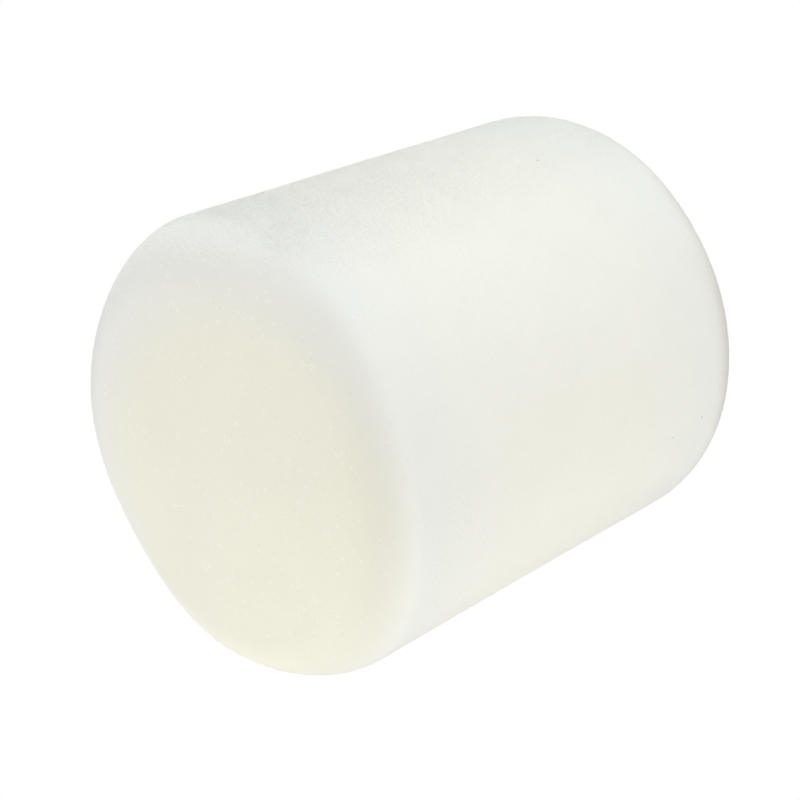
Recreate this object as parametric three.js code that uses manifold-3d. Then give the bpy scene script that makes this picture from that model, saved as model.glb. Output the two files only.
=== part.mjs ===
// A short foam roller lying on its side: a soft foam sleeve round a firm core rod, closed at each end
// by a soft end pad that carries the rounded rim. All four pieces are bonded together.
// Millimetres. +Y runs along the roller, +Z is up, and the origin is on the floor under the middle.
import * as THREE from 'three';
import { mergeVertices } from 'three/addons/utils/BufferGeometryUtils.js';
import Module from 'manifold-3d';

const wasm = await Module();
wasm.setup();

// Driving dimensions
const OUTER_DIAMETER = 150;
const LENGTH = 170;
const RIM_RADIUS = 20; // also the thickness of an end pad, so the joint lies where the rim meets the barrel
const CORE_DIAMETER = 76;
const GLUE_LINE = 0.3; // bonded faces stand this far apart
const REST_FLAT_WIDTH = 16; // strip that the soft foam squashes to under its own weight

// Fineness of the round shapes
const SEGMENTS_AROUND = 80;
const RIM_STEPS = 8;
const CUT_MARGIN = 10;

// Worked out from the driving dimensions
const OUTER_RADIUS = OUTER_DIAMETER / 2;
const CORE_RADIUS = CORE_DIAMETER / 2;
const BORE_RADIUS = CORE_RADIUS + GLUE_LINE;
const BARREL_HALF_LENGTH = LENGTH / 2 - RIM_RADIUS - GLUE_LINE;
const AXIS_HEIGHT = Math.sqrt(OUTER_RADIUS ** 2 - (REST_FLAT_WIDTH / 2) ** 2);

const SOFT_FOAM = { color: 0xf3f1e6, roughness: 0.9, metalness: 0 };
const CUT_FOAM = { color: 0xefe9d8, roughness: 0.92, metalness: 0 };
const FIRM_FOAM = { color: 0xe6e4dc, roughness: 0.8, metalness: 0 };

// A turned shape round the Y axis. Points are [radius, place along the axis].
function turned(points) {
  const profile = points.map(([radius, along]) => new THREE.Vector2(radius, along));
  return new THREE.LatheGeometry(profile, SEGMENTS_AROUND);
}

function toSolid(geometry) {
  const bare = geometry.clone();
  bare.deleteAttribute('normal');
  bare.deleteAttribute('uv');
  const merged = mergeVertices(bare);
  const corners = merged.index.array;
  const triangles = [];
  for (let i = 0; i < corners.length; i += 3) {
    const [a, b, c] = corners.slice(i, i + 3);
    // a turned shape has flat slivers where it meets its axis
    if (a !== b && b !== c && c !== a) triangles.push(a, b, c);
  }
  return new wasm.Manifold(new wasm.Mesh({
    numProp: 3,
    vertProperties: merged.attributes.position.array,
    triVerts: new Uint32Array(triangles),
  }));
}

function toGeometry(solid) {
  const { vertProperties, triVerts } = solid.getMesh();
  const geometry = new THREE.BufferGeometry();
  geometry.setAttribute('position', new THREE.BufferAttribute(vertProperties, 3));
  geometry.setIndex(new THREE.BufferAttribute(triVerts, 1));
  geometry.computeVertexNormals();
  return geometry;
}

// Takes off what hangs below the floor, which leaves the rest flat. The roller's axis is at the shape's origin.
function flattenedUnderneath(geometry) {
  const side = OUTER_DIAMETER + CUT_MARGIN;
  const below = new THREE.BoxGeometry(side, LENGTH + CUT_MARGIN, side);
  below.translate(0, 0, -AXIS_HEIGHT - side / 2);
  return toGeometry(toSolid(geometry).subtract(toSolid(below)));
}

function coreRod() {
  return turned([
    [0, -BARREL_HALF_LENGTH],
    [CORE_RADIUS, -BARREL_HALF_LENGTH],
    [CORE_RADIUS, BARREL_HALF_LENGTH],
    [0, BARREL_HALF_LENGTH],
  ]);
}

function foamSleeve() {
  const section = turned([
    [OUTER_RADIUS, -BARREL_HALF_LENGTH],
    [OUTER_RADIUS, BARREL_HALF_LENGTH],
    [BORE_RADIUS, BARREL_HALF_LENGTH],
    [BORE_RADIUS, -BARREL_HALF_LENGTH],
    [OUTER_RADIUS, -BARREL_HALF_LENGTH],
  ]);
  return flattenedUnderneath(section);
}

// The front pad: flat bonding face towards the middle, quarter-round rim, flat end face at -Y.
function endPad() {
  const bondingFace = -LENGTH / 2 + RIM_RADIUS;
  const profile = [[0, -LENGTH / 2]];
  for (let step = 0; step <= RIM_STEPS; step += 1) {
    const turn = (Math.PI / 2) * (step / RIM_STEPS);
    profile.push([
      OUTER_RADIUS - RIM_RADIUS + RIM_RADIUS * Math.sin(turn),
      bondingFace - RIM_RADIUS * Math.cos(turn),
    ]);
  }
  profile.push([0, bondingFace]);
  return flattenedUnderneath(turned(profile));
}

function piece(name, geometry, finish) {
  const mesh = new THREE.Mesh(geometry, new THREE.MeshStandardMaterial(finish));
  mesh.name = name;
  return mesh;
}

const roller = new THREE.Group();
roller.position.z = AXIS_HEIGHT;
roller.add(piece('core_rod', coreRod(), FIRM_FOAM));
roller.add(piece('foam_sleeve', foamSleeve(), SOFT_FOAM));
roller.add(piece('front_end_pad', endPad(), CUT_FOAM));

// The back pad is the same piece turned round to the other end.
const backPad = piece('back_end_pad', endPad(), CUT_FOAM);
backPad.rotation.z = Math.PI;
roller.add(backPad);

const part = new THREE.Group();
part.add(roller);
export default part;
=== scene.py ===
"""A short foam roller on a white studio sweep: a soft foam sleeve bonded round a firm core rod,
with a soft foam pad closing each end and carrying the rounded rim. Metres, +Y along the roller, +Z up."""

import math

import bmesh
import bpy
from mathutils import Matrix, Vector, noise


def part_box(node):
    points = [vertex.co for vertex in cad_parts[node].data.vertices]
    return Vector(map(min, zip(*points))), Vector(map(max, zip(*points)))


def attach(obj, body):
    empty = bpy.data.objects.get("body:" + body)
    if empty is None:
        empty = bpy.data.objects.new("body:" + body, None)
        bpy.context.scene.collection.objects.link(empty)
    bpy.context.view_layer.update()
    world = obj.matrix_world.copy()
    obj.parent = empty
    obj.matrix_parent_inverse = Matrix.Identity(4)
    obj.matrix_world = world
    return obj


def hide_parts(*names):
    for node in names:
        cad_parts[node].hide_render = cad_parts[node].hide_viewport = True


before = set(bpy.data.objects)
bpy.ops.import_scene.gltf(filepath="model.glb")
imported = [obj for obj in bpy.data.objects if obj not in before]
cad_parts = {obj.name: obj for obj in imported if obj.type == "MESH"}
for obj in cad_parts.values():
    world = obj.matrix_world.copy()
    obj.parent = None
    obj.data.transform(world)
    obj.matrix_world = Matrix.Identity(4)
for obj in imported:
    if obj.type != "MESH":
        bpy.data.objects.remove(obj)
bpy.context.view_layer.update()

# ---- Firm core rod ----
# The rod that keeps the roller straight: a denser closed-cell foam, extruded, sawn to length and
# eased at its ends. The sleeve is bonded round it, so it is hidden once the roller is finished.
core_low, core_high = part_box("core_rod")
CORE_RADIUS = (core_high.x - core_low.x) / 2
CORE_LENGTH = core_high.y - core_low.y
AXIS_HEIGHT = (core_high.z + core_low.z) / 2
CORE_END_EASING = 0.0012
CORE_SEGMENTS = 96
DIE_LINE_DEPTH = 0.00008
DIE_LINES_AROUND = 24
FIRM_FOAM_COLOUR = (0.80, 0.785, 0.73)
FIRM_FOAM_CELL = 0.0005
SHARP_CORNER = 50  # degrees: an edge that turns further than this is a cut corner
TINY = 1e-5  # how near two places are taken as the same


def finish_piece(bm, name, material):
    """Turns a modelled shape into a smooth-shaded object at the origin, sharp only at its cut corners."""
    bmesh.ops.recalc_face_normals(bm, faces=bm.faces[:])
    for face in bm.faces:
        face.smooth = True
    for edge in bm.edges:
        edge.smooth = edge.calc_face_angle(0) < math.radians(SHARP_CORNER)
    mesh = bpy.data.meshes.new(name)
    bm.to_mesh(mesh)
    bm.free()
    mesh.materials.append(material)
    piece = bpy.data.objects.new(name, mesh)
    bpy.context.scene.collection.objects.link(piece)
    return piece


def new_finish(name):
    """An empty material with its shader, and small helpers to add and wire its nodes."""
    material = bpy.data.materials.new(name)
    material.use_nodes = True
    tree = material.node_tree
    tree.nodes.clear()
    out = tree.nodes.new("ShaderNodeOutputMaterial")
    shader = tree.nodes.new("ShaderNodeBsdfPrincipled")
    tree.links.new(shader.outputs["BSDF"], out.inputs["Surface"])
    where = tree.nodes.new("ShaderNodeTexCoord").outputs["Object"]

    def node(kind, inputs=(), **settings):
        made = tree.nodes.new("ShaderNode" + kind)
        for key, value in settings.items():
            setattr(made, key, value)
        for key, value in dict(inputs).items():
            if isinstance(value, bpy.types.NodeSocket):
                tree.links.new(value, made.inputs[key])
            else:
                made.inputs[key].default_value = value
        return made

    def wire(value, socket):
        tree.links.new(value, shader.inputs[socket])

    return material, shader, where, node, wire


def cells(node, where, size, smoothness=0.0):
    """Rounded foam cells of one size: 0 in the middle of a cell, rising to its walls."""
    feature = "SMOOTH_F1" if smoothness else "F1"
    inputs = {"Vector": where, "Scale": 1 / size}
    if smoothness:
        inputs["Smoothness"] = smoothness
    return node("TexVoronoi", inputs, feature=feature)


def firm_foam():
    material, shader, where, node, wire = new_finish("firm_foam")
    cell = cells(node, where, FIRM_FOAM_CELL)
    tone = node("TexNoise", {"Vector": where, "Scale": 60.0, "Detail": 3.0})
    shade = node("MapRange", {"Value": tone.outputs["Fac"], "To Min": 0.94, "To Max": 1.03})
    colour = node("VectorMath", {0: FIRM_FOAM_COLOUR, 3: shade.outputs["Result"]}, operation="SCALE")
    wire(colour.outputs["Vector"], "Base Color")
    rough = node("MapRange", {"Value": cell.outputs["Distance"], "To Min": 0.68, "To Max": 0.86})
    wire(rough.outputs["Result"], "Roughness")
    bump = node("Bump", {"Height": cell.outputs["Distance"], "Strength": 0.4, "Distance": 0.0001})
    wire(bump.outputs["Normal"], "Normal")
    return material


bm = bmesh.new()
lay_along_y = Matrix.Translation((0, 0, AXIS_HEIGHT)) @ Matrix.Rotation(math.radians(90), 4, "X")
bmesh.ops.create_cone(bm, cap_ends=True, segments=CORE_SEGMENTS, radius1=CORE_RADIUS,
                      radius2=CORE_RADIUS, depth=CORE_LENGTH, matrix=lay_along_y)
end_corners = [e for e in bm.edges if abs(e.verts[0].co.y - e.verts[1].co.y) < TINY]
bmesh.ops.bevel(bm, geom=end_corners, offset=CORE_END_EASING, affect="EDGES", segments=4, profile=0.5,
                material=-1)
for v in bm.verts:  # shallow lines left along the rod by the extrusion die
    across = Vector((v.co.x, 0, v.co.z - AXIS_HEIGHT))
    if across.length > CORE_RADIUS - TINY:
        turn = math.atan2(across.z, across.x)
        v.co -= across.normalized() * DIE_LINE_DEPTH * (0.5 + 0.5 * math.cos(DIE_LINES_AROUND * turn))
core = finish_piece(bm, "firm_core", firm_foam())
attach(core, "root")
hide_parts("core_rod")

# ---- Soft foam sleeve ----
# The part that is rolled on: a thick tube of soft, open-cell foam with a fine pebbled skin,
# bonded round the core. It rests on the floor on a narrow strip that its own weight flattens.
sleeve_low, sleeve_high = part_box("foam_sleeve")
OUTER_RADIUS = (sleeve_high.x - sleeve_low.x) / 2
pad_low, pad_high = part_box("front_end_pad")
HALF_LENGTH = -pad_low.y
RIM_RADIUS = HALF_LENGTH + pad_high.y
BARREL_END = HALF_LENGTH - RIM_RADIUS  # where an end pad meets the sleeve
GLUE_LINE = 0.0003  # between the core and the sleeve bonded round it
BORE_RADIUS = CORE_RADIUS + GLUE_LINE
GLUE_GAP = 0.000005  # between the sleeve and a pad, closed up so that no joint shows
STEPS_AROUND = 360
MERGE_GAP = 1e-7  # vertices nearer than this are made one
RING_SPACING = 0.0014
EDGE_SPACING = 0.0015  # the mesh's spacing just below the skin
INSIDE_SPACING = 0.02
BORE_SPACING = 0.07
SKIN_DEPTH = 0.006  # only this much of a soft piece is uneven
FLAT_SOFTNESS = 0.0003  # height over which the barrel eases into its resting strip
LOOSE_WAVES = [(0.045, 0.00022), (0.013, 0.00005), (0.0045, 0.000015)]  # spacing, depth of unevenness
SKIN_COLOUR = (0.92, 0.925, 0.862)
HALFWAY_WARM_LIGHT_COLOUR = (0.954, 0.953, 0.855)  # painted warm light: the skin is painted lighter and warmer halfway along, and duller towards the rims
HALFWAY_WARM_LIGHT_REACH = (0.025, 0.068)  # distances from halfway along over which that painted warm light fades
# a cut face is a little creamier than the skin, as cut foam is, and is also painted darker and warmer as
# shade and warm light on the end faces
FACE_COLOUR = (0.864, 0.836, 0.69)
PALE_FACE_COLOUR = (0.843, 0.836, 0.762)
FACE_WARM_LIGHT_MIDDLE = (0.018, 0, -0.008)  # from the axis: where the painted warm light on a face is deepest, off its middle
FACE_WARM_LIGHT_REACH = (0.048, 0.079)  # distances from that place over which the painted warm light fades
# painted highlight: the pale colour of glints on opened cells of a cut face
PAINTED_HIGHLIGHT_COLOUR = (0.98, 0.96, 0.88)
# painted shade: the dark inside of stray pores
PORE_SHADE_COLOUR = (0.42, 0.38, 0.30)
# painted shade: the dark of hollows between pebbles and of a few opened cells
HOLLOW_SHADE_COLOUR = (0.70, 0.67, 0.58)
HOLLOW_SHADE_TONE = 0.2  # how far the hollows between pebbles are painted in that shade where the grain is coarse
PEBBLE = 0.00095
FINE_CELL = 0.00045
OPEN_CELL = 0.0011
TEAR_SIZE = 0.0007  # the torn outlines of opened cells, and how far they stray
TEAR_REACH = 0.0010
HIGHLIGHT_CLUSTER = 0.006
LUMP = 0.003
GRAIN_PATCH = 0.012
MOTTLE = 0.018
STRAY_PORE_GAP = 0.0075
GRAIN_HEIGHT = 0.0006
COARSE_SIDE = (-0.34, 0, 0.94)  # the skin is coarsest along its top
COARSE_REACH = (0.62, 0.96)  # how squarely it faces that side where the coarseness starts, and is full
COARSE_FADE = (-0.055, 0.06, 1.0, 0.4)  # from, to along the roller, and its share at each
QUIET_GRAIN = 0.18  # how deep the grain is elsewhere, against that


def outward(co):
    """The direction the skin faces at a point, and how deep the point lies below the skin."""
    across = Vector((co.x, 0, co.z - AXIS_HEIGHT))
    radial = across.length - (OUTER_RADIUS - RIM_RADIUS)
    axial = abs(co.y) - BARREL_END
    side = across.normalized() if across.length > 1e-9 else Vector((0, 0, 0))
    end = Vector((0, math.copysign(1, co.y), 0))
    facing = side * max(radial, 0) + end * max(axial, 0)
    depth = RIM_RADIUS - facing.length
    return facing.normalized() if facing.length > 1e-9 else end, depth


def settle(bm):
    """Gives a soft piece the slight unevenness of foam, and flattens it where it rests on the floor."""
    for v in bm.verts:
        facing, depth = outward(v.co)
        share = max(0.0, 1 - depth / SKIN_DEPTH)  # faces inside the roller stay true
        wave = sum(size * noise.noise(v.co / gap) for gap, size in LOOSE_WAVES)
        v.co += facing * wave * share
        height = v.co.z
        if height < FLAT_SOFTNESS:
            lifted = (height + FLAT_SOFTNESS) ** 2 / (4 * FLAT_SOFTNESS)
            v.co.z = lifted if height > -FLAT_SOFTNESS else 0.0


def turn_on_axis(bm, steps):
    """Spins a half section round the roller's axis into a closed shape."""
    bmesh.ops.spin(bm, geom=bm.verts[:] + bm.edges[:], cent=(0, 0, AXIS_HEIGHT), axis=(0, 1, 0),
                   angle=math.tau, steps=steps, use_merge=True)
    bmesh.ops.remove_doubles(bm, verts=bm.verts[:], dist=MERGE_GAP)
    bmesh.ops.dissolve_degenerate(bm, dist=MERGE_GAP, edges=bm.edges[:])


def draw_line(bm, start, radius, along, spacing):
    """Draws the half section on from a vertex to (radius, along), in even steps; gives its last vertex."""
    way = Vector((radius, along, AXIS_HEIGHT)) - start.co
    steps = max(1, round(way.length / spacing))
    drawn = bmesh.ops.spin(bm, geom=[start], cent=start.co, axis=(0, 0, 1), dvec=way / steps, angle=0,
                           steps=steps, use_merge=False)
    return drawn["geom_last"][0]


def soft_foam(name, cut):
    """Off-white open-cell foam with a pebbled skin, the hollows between its pebbles painted in shade. A cut
    piece turns creamier and smoother towards its face, as its cut_face attribute says; that cream is partly
    the cut foam's own and partly painted shade and warm light, and some cells opened there are painted pale
    as glints, a painted highlight, and made glossier."""
    material, shader, where, node, wire = new_finish(name)

    def scaled(value, low, high, to_low=0.0, to_high=1.0):
        made = node("MapRange", {"Value": value, "From Min": low, "From Max": high, "To Min": to_low,
                                 "To Max": to_high}, interpolation_type="SMOOTHSTEP")
        return made.outputs["Result"]

    def maths(operation, a, b=0.0):
        return node("Math", {0: a, 1: b}, operation=operation).outputs[0]

    def blend(share, a, b):
        return node("Mix", {0: share, 6: a, 7: b}, data_type="RGBA").outputs[2]

    def clouds(size, detail=2.0):
        return node("TexNoise", {"Vector": where, "Scale": 1 / size, "Detail": detail}).outputs["Fac"]

    pebble = cells(node, where, PEBBLE, smoothness=0.35).outputs["Distance"]
    fine = cells(node, where, FINE_CELL).outputs["Distance"]
    hollow_shade = scaled(pebble, 0.28, 0.62)
    patchy = clouds(MOTTLE, 4.0)

    from_axis = node("VectorMath", {0: where, 1: (0, 0, -AXIS_HEIGHT)}, operation="ADD").outputs["Vector"]
    coarse_way = tuple(c / OUTER_RADIUS for c in COARSE_SIDE)
    coarse = node("VectorMath", {0: from_axis, 1: coarse_way}, operation="DOT_PRODUCT").outputs["Value"]
    along = node("SeparateXYZ", {0: where}).outputs["Y"]
    coarse = maths("MULTIPLY", scaled(coarse, *COARSE_REACH), scaled(along, *COARSE_FADE))
    grain_depth = maths("MULTIPLY", scaled(clouds(GRAIN_PATCH), 0.3, 0.7, 0.8, 1.0),
                        maths("ADD", maths("MULTIPLY", coarse, 1 - QUIET_GRAIN), QUIET_GRAIN))

    # painted warm light: the skin lighter and warmer halfway along
    halfway_warm_light = scaled(maths("ABSOLUTE", along), *HALFWAY_WARM_LIGHT_REACH, 1.0, 0.0)
    skin = blend(halfway_warm_light, (*SKIN_COLOUR, 1), (*HALFWAY_WARM_LIGHT_COLOUR, 1))
    shade = scaled(patchy, 0.3, 0.7, 0.99, 1.0)
    colour = node("VectorMath", {0: skin, 3: shade}, operation="SCALE").outputs["Vector"]
    rough = scaled(fine, 0.0, 0.8, 0.84, 0.95)
    if cut:
        # painted shade and warm light: a cut face darker and creamier than the skin, deepest off its middle
        in_plane = node("VectorMath", {0: from_axis, 1: (1, 0, 1)}, operation="MULTIPLY").outputs["Vector"]
        off_face_warm_light = node("VectorMath", {0: in_plane, 1: FACE_WARM_LIGHT_MIDDLE}, operation="DISTANCE").outputs["Value"]
        face = blend(scaled(off_face_warm_light, *FACE_WARM_LIGHT_REACH), (*FACE_COLOUR, 1), (*PALE_FACE_COLOUR, 1))
        face = node("VectorMath", {0: face, 3: shade}, operation="SCALE").outputs["Vector"]
        cut_share = node("Attribute", attribute_name="cut_face").outputs["Fac"]
        colour = blend(scaled(cut_share, 0.0, 1.0), colour, face)
        grain_depth = maths("MULTIPLY", grain_depth, scaled(cut_share, 0.0, 0.6, 1.0, 0.45))
    # painted shade in the hollows between pebbles, deepest where the grain is coarse
    colour = blend(maths("MULTIPLY", hollow_shade, maths("MULTIPLY", grain_depth, HOLLOW_SHADE_TONE)), colour,
                   (*HOLLOW_SHADE_COLOUR, 1))

    if cut:
        torn = node("TexNoise", {"Vector": where, "Scale": 1 / TEAR_SIZE, "Detail": 1.0}).outputs["Color"]
        torn = node("VectorMath", {0: torn, 3: TEAR_REACH}, operation="SCALE").outputs["Vector"]
        torn = node("VectorMath", {0: where, 1: torn}, operation="ADD").outputs["Vector"]
        opened = cells(node, torn, OPEN_CELL)
        pick = node("SeparateColor", {0: opened.outputs["Color"]})
        rarity = scaled(clouds(HIGHLIGHT_CLUSTER, 1.0), 0.35, 0.7, 0.975, 0.85)
        chosen = maths("GREATER_THAN", pick.outputs[0], rarity)
        # painted highlight: some opened cells painted pale as glints, and made glossier
        glossy_painted_highlight = maths("MULTIPLY", chosen, scaled(opened.outputs["Distance"], 0.12, 0.50, 1.0, 0.0))
        glossy_painted_highlight = maths("MULTIPLY", glossy_painted_highlight, scaled(cut_share, 0.4, 0.95, 0.1, 1.0))
        # painted shade: a few opened cells painted dark, as shade inside them
        shaded = maths("LESS_THAN", pick.outputs[1], 0.04)
        shaded = maths("MULTIPLY", shaded, scaled(opened.outputs["Distance"], 0.3, 0.6, 0.16, 0.0))
        colour = blend(shaded, colour, (*HOLLOW_SHADE_COLOUR, 1))
        colour = blend(maths("MULTIPLY", glossy_painted_highlight, 0.62), colour, (*PAINTED_HIGHLIGHT_COLOUR, 1))
        rough = maths("SUBTRACT", rough, maths("MULTIPLY", glossy_painted_highlight, 0.5))

    # painted shade: rare stray pores painted dark, as shade inside them
    stray = cells(node, where, STRAY_PORE_GAP)
    stray_pick = node("SeparateColor", {0: stray.outputs["Color"]}).outputs[1]
    pore_shade = maths("MULTIPLY", maths("GREATER_THAN", stray_pick, 0.94),
                 scaled(stray.outputs["Distance"], 0.03, 0.07, 0.6, 0.0))
    wire(blend(pore_shade, colour, (*PORE_SHADE_COLOUR, 1)), "Base Color")
    wire(rough, "Roughness")

    pebbles = maths("ADD", pebble, maths("MULTIPLY", fine, 0.25))
    lumps = maths("MULTIPLY", clouds(LUMP, 1.0), 0.35)
    height = maths("MULTIPLY", maths("SUBTRACT", lumps, pebbles), grain_depth)
    bump = node("Bump", {"Height": height, "Strength": 1.0, "Distance": GRAIN_HEIGHT})
    wire(bump.outputs["Normal"], "Normal")

    shader.inputs["IOR"].default_value = 1.45
    shader.inputs["Specular IOR Level"].default_value = 0.5
    shader.inputs["Sheen Weight"].default_value = 0.1
    shader.inputs["Sheen Roughness"].default_value = 0.35
    return material


bm = bmesh.new()
wall_end = BARREL_END - GLUE_GAP
corner = bm.verts.new((OUTER_RADIUS, -wall_end, AXIS_HEIGHT))
below_skin = OUTER_RADIUS - SKIN_DEPTH
for radius, along, spacing in [
    (OUTER_RADIUS, wall_end, RING_SPACING),
    (below_skin, wall_end, EDGE_SPACING),
    (BORE_RADIUS, wall_end, INSIDE_SPACING),
    (BORE_RADIUS, -wall_end, BORE_SPACING),
    (below_skin, -wall_end, INSIDE_SPACING),
    (OUTER_RADIUS, -wall_end, EDGE_SPACING),
]:
    corner = draw_line(bm, corner, radius, along, spacing)
turn_on_axis(bm, STEPS_AROUND)
settle(bm)
sleeve = finish_piece(bm, "soft_sleeve", soft_foam("soft_foam", False))
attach(sleeve, "root")
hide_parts("foam_sleeve")

# ---- Foam end pads ----
# A disc of the same foam bonded over each end, its outer corner rounded off to a soft rim.
# Its face is cut, not moulded, so it is smoother and creamier, slightly crowned, and not quite square. Its
# cream is also partly painted shade and warm light.
FACE_CROWN = 0.003
RIM_STEPS = 26
FRONT_LEAN = (0.06, 0.06)  # how far a face runs back, per metre to the right and upwards
BACK_LEAN = (0.02, 0.015)
# a hand-rounded rim is not a true circle: how many high places, how high, and the turn of the first
FRONT_RIM_WAVE = (4, 0.0009, 5)
BACK_RIM_WAVE = (3, 0.0007, 95)
cut_foam = soft_foam("cut_foam", True)


def end_pad(name, side, lean, rim_wave, cad_node):
    """One end pad. side is -1 at the front and 1 at the back."""
    bm = bmesh.new()
    flat_radius = OUTER_RADIUS - RIM_RADIUS
    middle_inside = bm.verts.new((0, side * BARREL_END, AXIS_HEIGHT))
    near_skin = draw_line(bm, middle_inside, below_skin, side * BARREL_END, INSIDE_SPACING)
    corner = draw_line(bm, near_skin, OUTER_RADIUS, side * BARREL_END, EDGE_SPACING)
    rim_middle = (flat_radius, side * BARREL_END, AXIS_HEIGHT)
    rim = bmesh.ops.spin(bm, geom=[corner], cent=rim_middle, axis=(0, 0, side), angle=math.pi / 2,
                         steps=RIM_STEPS, use_merge=False)
    draw_line(bm, rim["geom_last"][0], 0, side * HALF_LENGTH, RING_SPACING)
    turn_on_axis(bm, STEPS_AROUND)
    cut_face = bm.verts.layers.float.new("cut_face")
    for v in bm.verts:
        height = v.co.z - AXIS_HEIGHT
        radius = math.hypot(v.co.x, height)
        on_face = min(radius / flat_radius, 1) ** 2
        facing, depth = outward(v.co)
        if depth < TINY:
            v[cut_face] = abs(facing.y)
            turn = math.atan2(height, v.co.x)
            count, wave_height, first = rim_wave
            high = wave_height * math.cos(count * (turn - math.radians(first)))
            v.co += facing * high * abs(facing.y) * on_face
            crown = side * FACE_CROWN * (1 - on_face)
            v.co.y += abs(facing.y) * (crown + lean[0] * v.co.x + lean[1] * height)
    settle(bm)
    pad = finish_piece(bm, name, cut_foam)
    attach(pad, "root")
    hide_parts(cad_node)


end_pad("front_pad", -1, FRONT_LEAN, FRONT_RIM_WAVE, "front_end_pad")
end_pad("back_pad", 1, BACK_LEAN, BACK_RIM_WAVE, "back_end_pad")

# ---- White studio ----
# A glowing white floor and a white dome beyond it, both there for the camera only, and soft boxes
# all round the roller, some of them below it, as over a table of milky glass. No shadow shows.
FLOOR_SIZE = 16.0
DOME_RADIUS = FLOOR_SIZE / 2 - 0.5
SOFT_BOX_DISTANCE = 1.3
UPPER_WATTS = 7.0
LOWER_WATTS = 8.5
FILL_WATTS = 4.0
WHITE_LIGHT = (1, 1, 1)
COOL_LIGHT = (0.93, 0.95, 1)
SOFT_BOXES = [  # name, azimuth and elevation in degrees, size in metres, watts, colour
    ("top_box", 0, 85, 1.0, UPPER_WATTS, COOL_LIGHT),
    ("key_box", 65, 55, 1.0, UPPER_WATTS, WHITE_LIGHT),
    ("right_box", 135, 5, 1.0, UPPER_WATTS, WHITE_LIGHT),
    ("left_box", 315, 5, 1.0, LOWER_WATTS, COOL_LIGHT),
    ("low_front_box", 45, -25, 1.0, LOWER_WATTS, WHITE_LIGHT),
    ("under_box", 45, -60, 1.0, LOWER_WATTS, WHITE_LIGHT),
    ("back_box", 245, 55, 1.0, FILL_WATTS, COOL_LIGHT),
    ("low_left_box", 315, -25, 1.0, FILL_WATTS, COOL_LIGHT),
    ("far_box", 230, -30, 0.5, 2 * LOWER_WATTS, WHITE_LIGHT),
]
middle = Vector((0, 0, AXIS_HEIGHT))


def glowing_white(name):
    material = bpy.data.materials.new(name)
    material.use_nodes = True
    shader = material.node_tree.nodes["Principled BSDF"]
    shader.inputs["Base Color"].default_value = (0, 0, 0, 1)
    shader.inputs["Roughness"].default_value = 0.9
    shader.inputs["Specular IOR Level"].default_value = 0.0
    shader.inputs["Emission Color"].default_value = (1, 1, 1, 1)
    shader.inputs["Emission Strength"].default_value = 1.0
    return material


bm = bmesh.new()
bmesh.ops.create_grid(bm, x_segments=4, y_segments=4, size=FLOOR_SIZE / 2)
floor = finish_piece(bm, "studio_floor", glowing_white("white_floor"))
bm = bmesh.new()
bmesh.ops.create_uvsphere(bm, u_segments=48, v_segments=24, radius=DOME_RADIUS)
dome = finish_piece(bm, "studio_dome", glowing_white("white_dome"))
for backdrop in (floor, dome):
    backdrop.visible_diffuse = backdrop.visible_glossy = backdrop.visible_transmission = False
    backdrop.visible_shadow = False

world = bpy.data.worlds.new("dark_room")  # the boxes alone light the roller
bpy.context.scene.world = world
world.use_nodes = True
world.node_tree.nodes["Background"].inputs["Color"].default_value = (0, 0, 0, 1)
bpy.context.scene.view_settings.view_transform = "Standard"


def direction(azimuth, elevation):
    """From the roller towards a place round it: azimuth 0 is the front, and 90 its right side."""
    a, e = math.radians(azimuth), math.radians(elevation)
    return Vector((math.sin(a) * math.cos(e), -math.cos(a) * math.cos(e), math.sin(e)))


for name, azimuth, elevation, size, watts, colour in SOFT_BOXES:
    light = bpy.data.lights.new(name, "AREA")
    light.shape = "DISK"
    light.size = size
    light.energy = watts
    light.color = colour
    box = bpy.data.objects.new(name, light)
    facing = direction(azimuth, elevation)
    box.matrix_world = (Matrix.Translation(middle + facing * SOFT_BOX_DISTANCE)
                        @ facing.to_track_quat("Z", "Y").to_matrix().to_4x4())
    box.visible_camera = False
    bpy.context.scene.collection.objects.link(box)

# ---- Camera ----
# A short telephoto, looking down at the front end and the right-hand side of the barrel.
CAMERA_AZIMUTH = 47.75
CAMERA_ELEVATION = 29.17
CAMERA_DISTANCE = 0.49
CAMERA_LENS = 65.3  # millimetres, as the sensor
CAMERA_SENSOR = 36
AIM_OFFSET = (-0.00526, -0.0067)  # where it aims, right of and above the middle of the roller
back = direction(CAMERA_AZIMUTH, CAMERA_ELEVATION)
right = Vector((0, 0, 1)).cross(back).normalized()
up = back.cross(right)
camera = bpy.data.objects.new("camera", bpy.data.cameras.new("camera"))
camera.data.lens = CAMERA_LENS
camera.data.sensor_width = CAMERA_SENSOR
camera.data.clip_start = 0.01
aim = middle + right * AIM_OFFSET[0] + up * AIM_OFFSET[1]
turned = Matrix((right, up, back)).transposed().to_4x4()
camera.matrix_world = Matrix.Translation(aim + back * CAMERA_DISTANCE) @ turned
bpy.context.scene.collection.objects.link(camera)
bpy.context.scene.camera = camera
